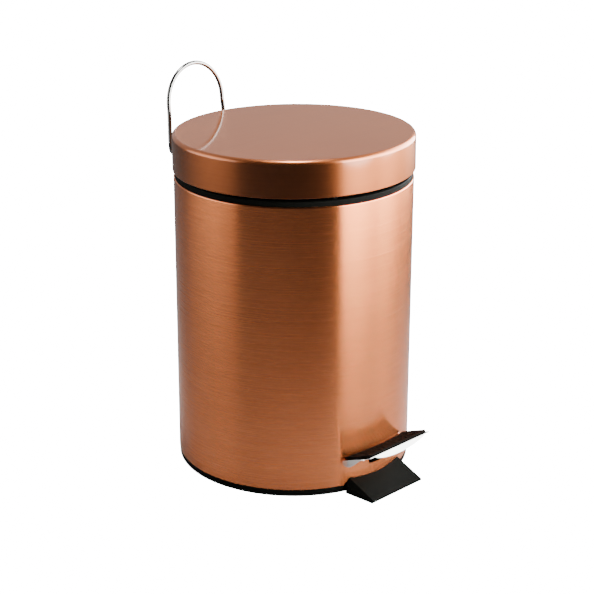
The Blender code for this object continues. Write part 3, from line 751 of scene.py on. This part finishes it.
def makeHousing():
    s, ear, boss = housingSet, earSet, bossSet
    low, high = spanOf("hinge_housing")
    hinge, handle = pivotOf("lid_open"), pivotOf("handle_swing")
    half, bottom, rear = high.x, low.z, high.y
    top, front, shelf, shoulder = s["top"], s["front"], s["shelf"], s["shoulder"]
    side = [(front, bottom)] + [(y, bottom + rise) for y, rise in s["waist"]]
    side += [(rear - 0.4, s["heel"][0]), (rear, s["heel"][1])]
    side += bow((rear - shoulder, top - shoulder), shoulder, 0, 90, 8) + [(front, top)]
    housing = looseObject("hingeHousing", slab(side, -half, half, "X"))
    soften(housing, s["rounding"], 4, 50)
    inside = half - s["wall"]
    cut(housing, brick((-inside, 70, bottom + shelf), (inside, rear - s["rear"], top - shelf)))
    parts, screwHoles = [], []
    for sign in (-1, 1):
        x = sign * screwSet["x"]
        parts.append(bar(boss["radius"], boss["length"], rearward(x, boss["y"], boss["z"])))
        screwHoles.append(drill(boss["hole"], 11, rearward(x, boss["y"] + 0.5, boss["z"])))
        profile = bow((hinge.y, hinge.z), ear["radius"], 0, 360, 48)[:-1]
        profile += [(y, top - 3) for y in ear["foot"]]
        parts.append(cheek(profile, *sorted((sign * ear["inner"], sign * ear["outer"]))))
    join(housing, *parts)
    byBody, byLid = bodyRadius() + s["bodyGap"], spanOf("lid_skin")[1].x + s["lidGap"]
    rim = spanOf("body_shell")[1].z
    clearance = [(0, 100), (byBody, 100), (byBody, rim), (byLid, rim + 1), (byLid, top + 1), (0, top + 1)]
    cut(housing, lathe(clearance, ringSteps), drill(ear["pinHole"], 30, acrossX(0, hinge.y, hinge.z)),
        drill(ear["wireHole"], 50, acrossX(0, handle.y, handle.z)), *screwHoles)
    soften(housing, s["edge"], 2, 50)
    finishPiece(housing, blackPlastic, "bin", ["hinge_housing"])


# What is under the lid: liner, bumpers and hinge bracket
linerSet = {"wall": 1.4, "plate": 1.5, "rounding": 0.8, "groove": (58.0, 62.0, 0.5),
            "notch": {"half": 10.3, "front": 71.0, "top": 239}}
bumperSet = {"drop": 1.9, "rounding": 0.7}
bracketSet = {"plate": 1.2, "rear": 81.8, "cheekX": (4.2, 5.4), "hingeRadius": 4.2, "crankRadius": 3.2,
              "pinHole": 1.8, "edge": 0.15, "gusset": ((62, 0.8), (77, 0.8), (62, 3))}


def makeLiner():
    s = linerSet
    low, high = spanOf("lid_liner")
    rim, floor, top, rounding = high.x, low.z, high.z, s["rounding"]
    wall, plate = rim - s["wall"], floor + s["plate"]
    inner, outer, depth = s["groove"]
    outline = [(0, floor), (inner - depth, floor), (inner, floor + depth), (outer, floor + depth)]
    outline += [(outer + depth, floor)] + bow((rim - rounding, floor + rounding), rounding, 270, 360, 5)
    outline += [(rim, top - 0.2), (rim - 0.2, top), (wall, top), (wall, plate), (0, plate)]
    liner = looseObject("lidLiner", lathe(outline, ringSteps))
    cut(liner, notchCutter(**s["notch"]))
    finishPiece(liner, blackPlastic, "lid", ["lid_liner"])


def makeBumpers():
    foot, rounding = -bumperSet["drop"], bumperSet["rounding"]
    for side in ("left", "right"):
        low, high = spanOf(f"lid_bumper_{side}")
        middle, radius, tall = (low + high) / 2, (high.x - low.x) / 2, high.z - low.z
        dome = [(0, foot)] + bow((radius - rounding, foot + rounding), rounding, 270, 360, 5)
        dome += [(radius, tall), (0, tall)]
        place = at(middle.x, middle.y, low.z)
        bumper = looseObject("lidBumper" + side.title(), lathe(dome, roundSteps, place))
        finishPiece(bumper, padRubber, "lid", [f"lid_bumper_{side}"])


def makeBracket():
    s = bracketSet
    low, high = spanOf("lid_hinge_bracket")
    crankLow, crankHigh = spanOf("crank_pin")
    hinge, crank, top, hole = pivotOf("lid_open"), (crankLow + crankHigh) / 2, high.z, s["pinHole"]
    plate = brick((low.x, low.y, top - s["plate"]), (high.x, s["rear"], top))
    bracket = looseObject("lidHingeBracket", plate)
    profile = bow((hinge.y, hinge.z), s["hingeRadius"], 0, 360, 40)[:-1]
    profile += bow((crank.y, crank.z), s["crankRadius"], 0, 360, 32)[:-1]
    profile += [(y, top - down) for y, down in s["gusset"]]
    join(bracket, *[cheek(profile, *sorted(sign * x for x in s["cheekX"])) for sign in (-1, 1)])
    cut(bracket, drill(hole, 20, acrossX(0, hinge.y, hinge.z)), drill(hole, 20, acrossX(0, crank.y, crank.z)))
    soften(bracket, s["edge"], 2, 50)
    finishPiece(bracket, zincSteel, "lid", ["lid_hinge_bracket"])


# Lift-out bucket and its bail
bucketSet = {"rim": 77.2, "rimLow": 214.2, "rimEdge": 0.5, "wallTop": 73.3, "wallFoot": 69.0, "wall": 1.5,
             "mouthEdge": 0.9, "eye": 1.6}
bailSet = {"radius": 68.5, "wire": 1.2, "droop": 8.0, "end": 75.5, "bend": 3.0}


def makeBucket():
    s = bucketSet
    low, high = spanOf("inner_bucket")
    floor, top, rim, edge, mouthEdge = low.z, high.z, s["rim"], s["rimEdge"], s["mouthEdge"]
    wallTop, wallFoot, rimLow = s["wallTop"], s["wallFoot"], s["rimLow"]
    insideTop, insideFoot = wallTop - s["wall"], wallFoot - s["wall"]
    outline = [(0, floor + 0.5), (60, floor + 0.5), (61, floor)]
    outline += bow((wallFoot - 2, floor + 2), 2, 270, 360, 5)
    outline += [(wallTop, rimLow)] + bow((rim - edge, rimLow + edge), edge, 270, 360, 4)
    outline += bow((rim - edge, top - edge), edge, 0, 90, 4)
    outline += bow((insideTop + mouthEdge, top - mouthEdge), mouthEdge, 90, 180, 5)
    outline += [(insideFoot, floor + 4)] + bow((insideFoot - 2.5, floor + 4.2), 2.5, 0, -90, 6)
    outline += [(0, floor + 1.7)]
    bucket = looseObject("innerBucket", lathe(outline, ringSteps))
    cut(bucket, drill(s["eye"], 200, acrossX(0, 0, pivotOf("bail_swing").z)))
    finishPiece(bucket, bucketPlastic, "bin", ["inner_bucket"])


def makeBail():
    s = bailSet
    eye, droop, radius, bend = pivotOf("bail_swing"), math.radians(s["droop"]), s["radius"], s["bend"]
    corner = [(s["end"], 0.0)] + bow((radius, bend), bend, 270, 180, 8)
    flat = corner + bow((0, bend), radius - bend, 0, 180, 72)[1:-1]
    flat += [(-x, reach) for x, reach in reversed(corner)]
    points = [(x, eye.y - reach * math.cos(droop), eye.z - reach * math.sin(droop)) for x, reach in flat]
    bail = wirePiece("bucketBail", points, s["wire"])
    finishPiece(bail, zincSteel, "bail", ["bucket_bail"])


# Wire carry handle: straight legs that ease into the bow, with its ends turned in to the housing
handleSet = {"wire": 1.6, "lean": 0.094, "leg": 28.0, "bowHalf": 26.4, "bowZ": 247.5, "topZ": 275.2,
             "bend": 5.0, "end": 12.5, "steps": 24}


def makeHandle():
    s = handleSet
    pivot, bend, leg, bowZ, bowHalf = pivotOf("handle_swing"), s["bend"], s["leg"], s["bowZ"], s["bowHalf"]
    half = [(s["end"], pivot.z)] + bow((leg - bend, pivot.z + bend), bend, 270, 360, 14)
    start, rise = pivot.z + bend, s["topZ"] - bowZ
    for i in range(1, s["steps"]):
        part = i / s["steps"]
        ease = part * part * (3 - 2 * part)
        half.append((leg + (bowHalf - leg) * ease, start + (bowZ - start) * part))
    turns = [math.radians(a) for a in range(0, 181, 3)]
    top = [(bowHalf * math.cos(a), bowZ + rise * math.sin(a)) for a in turns]
    path = half + top + [(-x, z) for x, z in reversed(half)]
    points = [(x, pivot.y + (z - pivot.z) * s["lean"], z) for x, z in path]
    handle = wirePiece("carryHandle", points, s["wire"], 10)
    finishPiece(handle, wireChromePaintedShade, "handle", ["carry_handle"])


# Camera, light and floor
cameraSet = {"lens": 100.4, "place": (-0.8054, -0.7942, 0.5301), "heading": 45.526, "down": 19.985,
             "roll": 0.143, "clip": (0.05, 20)}
# each softbox stands at an angle round the bin, from the camera's side towards its right, and faces the bin
softboxSet = {
    "rightFront": {"turn": 60, "distance": 0.62, "size": (0.392, 1.1), "power": 10.2, "spread": 90},
    "right": {"turn": 95, "distance": 0.62, "size": (0.392, 1.1), "power": 10.0, "spread": 90},
    "rightBack": {"turn": 130, "distance": 0.62, "size": (0.392, 1.1), "power": 7.6, "spread": 90},
    "left": {"turn": -82, "distance": 0.90, "size": (1.04, 1.1), "power": 4.4, "spread": 90},
}
softboxFoot = 0.10       # metres between the table and a softbox
topLampSet = {"height": 1.3, "size": (0.3, 0.3), "power": 0.47, "spread": 24}
pedalCardSet = {"reach": 0.10, "height": 0.002, "size": (0.16, 0.16), "power": 0.6, "spread": 180}
worldSet = {"backdrop": 22.0, "front": 0.08, "behind": 0.75, "fade": (-0.45, 0.6)}
floorSet = {"glow": 20.0, "grey": 0.30, "roughness": 0.8, "half": 4000, "top": -0.2, "under": -20}


def setCamera():
    s = cameraSet
    data = bpy.data.cameras.new("camera")
    data.lens = s["lens"]
    data.clip_start, data.clip_end = s["clip"]
    camera = bpy.data.objects.new("camera", data)
    bpy.context.collection.objects.link(camera)
    heading = Matrix.Rotation(math.radians(-s["heading"]), 4, "Z")
    tilt = Matrix.Rotation(math.radians(90 - s["down"]), 4, "X")
    roll = Matrix.Rotation(math.radians(s["roll"]), 4, "Z")
    camera.matrix_world = Matrix.Translation(s["place"]) @ (heading @ tilt) @ roll
    bpy.context.scene.camera = camera


def studioAxes():
    # level directions seen from the camera: to its right, and from the bin towards it
    heading = math.radians(cameraSet["heading"])
    right = Vector((math.cos(heading), -math.sin(heading), 0))
    towards = Vector((-math.sin(heading), -math.cos(heading), 0))
    return right, towards


def addSoftbox(name, s, place):
    data = bpy.data.lights.new(name, "AREA")
    data.shape = "RECTANGLE"
    data.size, data.size_y = s["size"]
    data.energy = s["power"]
    data.spread = math.radians(s["spread"])
    lamp = bpy.data.objects.new(name, data)
    bpy.context.collection.objects.link(lamp)
    lamp.location = place
    lamp.visible_camera = False
    return lamp


def setLights():
    right, towards = studioAxes()
    up = Vector((0, 0, 1))
    for name, s in softboxSet.items():
        turn = math.radians(s["turn"])
        out = right * math.sin(turn) + towards * math.cos(turn)
        middle = s["size"][1] / 2 + softboxFoot
        lamp = addSoftbox(name, s, out * s["distance"] + up * middle)
        lamp.rotation_euler = (-out).to_track_quat("-Z", "Y").to_euler()
    addSoftbox("above", topLampSet, up * topLampSet["height"])
    # a small card on the table that whitens only the pedal's front flange
    s = pedalCardSet
    flange = Vector((0, pedalSet["front"][0] * mm, 0))
    card = addSoftbox("pedalCard", s, flange + right * s["reach"] + up * s["height"])
    card.rotation_euler = (math.pi, 0, 0)
    lit = bpy.data.collections.new("litByCard")
    lit.objects.link(bpy.data.objects["pedalLever"])
    card.light_linking.receiver_collection = lit


def setWorld():
    # white for the camera; for reflections a room that is dark in front of the bin and pale behind it
    s = worldSet
    world = bpy.data.worlds.new("studio")
    bpy.context.scene.world = world
    world.use_nodes = True
    tree = world.node_tree
    tree.nodes.clear()
    out = addNode(tree, "ShaderNodeOutputWorld")
    mix = addNode(tree, "ShaderNodeMixShader")
    path = addNode(tree, "ShaderNodeLightPath")
    backdrop = addNode(tree, "ShaderNodeBackground", Color=(1, 1, 1, 1), Strength=s["backdrop"])
    room = addNode(tree, "ShaderNodeBackground", Strength=1.0)
    place = addNode(tree, "ShaderNodeTexCoord")
    facing = addNode(tree, "ShaderNodeVectorMath", operation="DOT_PRODUCT")
    facing.inputs[1].default_value = -studioAxes()[1]
    tree.links.new(place.outputs["Generated"], facing.inputs[0])
    start, end = s["fade"]
    glow = addNode(tree, "ShaderNodeMapRange", interpolation_type="SMOOTHSTEP", From_Min=start, From_Max=end,
                   To_Min=s["front"], To_Max=s["behind"])
    tree.links.new(facing.outputs["Value"], glow.inputs["Value"])
    tree.links.new(glow.outputs["Result"], room.inputs["Strength"])
    tree.links.new(path.outputs["Is Camera Ray"], mix.inputs[0])
    tree.links.new(room.outputs[0], mix.inputs[1])
    tree.links.new(backdrop.outputs[0], mix.inputs[2])
    tree.links.new(mix.outputs[0], out.inputs["Surface"])


def setFloor():
    # pale paper, lit so strongly that it is white to the camera, and softer in the bin's reflections
    s, half = floorSet, floorSet["half"]
    floor = looseObject("floor", brick((-half, -half, s["under"]), (half, half, s["top"])))
    grey = (s["grey"], s["grey"], s["grey"], 1)
    material, tree, shader = newMaterial("paleFloor", Base_Color=grey, Roughness=s["roughness"],
                                         Emission_Color=(1, 1, 1, 1))
    path = addNode(tree, "ShaderNodeLightPath")
    glow = remap(tree, path.outputs["Is Camera Ray"], 0, 1, 0, s["glow"])
    tree.links.new(glow, shader.inputs["Emission Strength"])
    floor.data.materials.append(material)


print("body, lid and collar")
makeBodyTube()
makeLidSkin()
makeCollar()
print("base and pedal")
makeBase()
makePedal()
makePad()
print("pins, rod and guides")
makePins()
makeWashers()
makeScrews()
makeRod()
makeGuides()
print("hinge housing, liner and bracket")
makeHousing()
makeLiner()
makeBumpers()
makeBracket()
print("bucket, bail and handle")
makeBucket()
makeBail()
makeHandle()
print("camera, light and floor")
setCamera()
setWorld()
setLights()
setFloor()
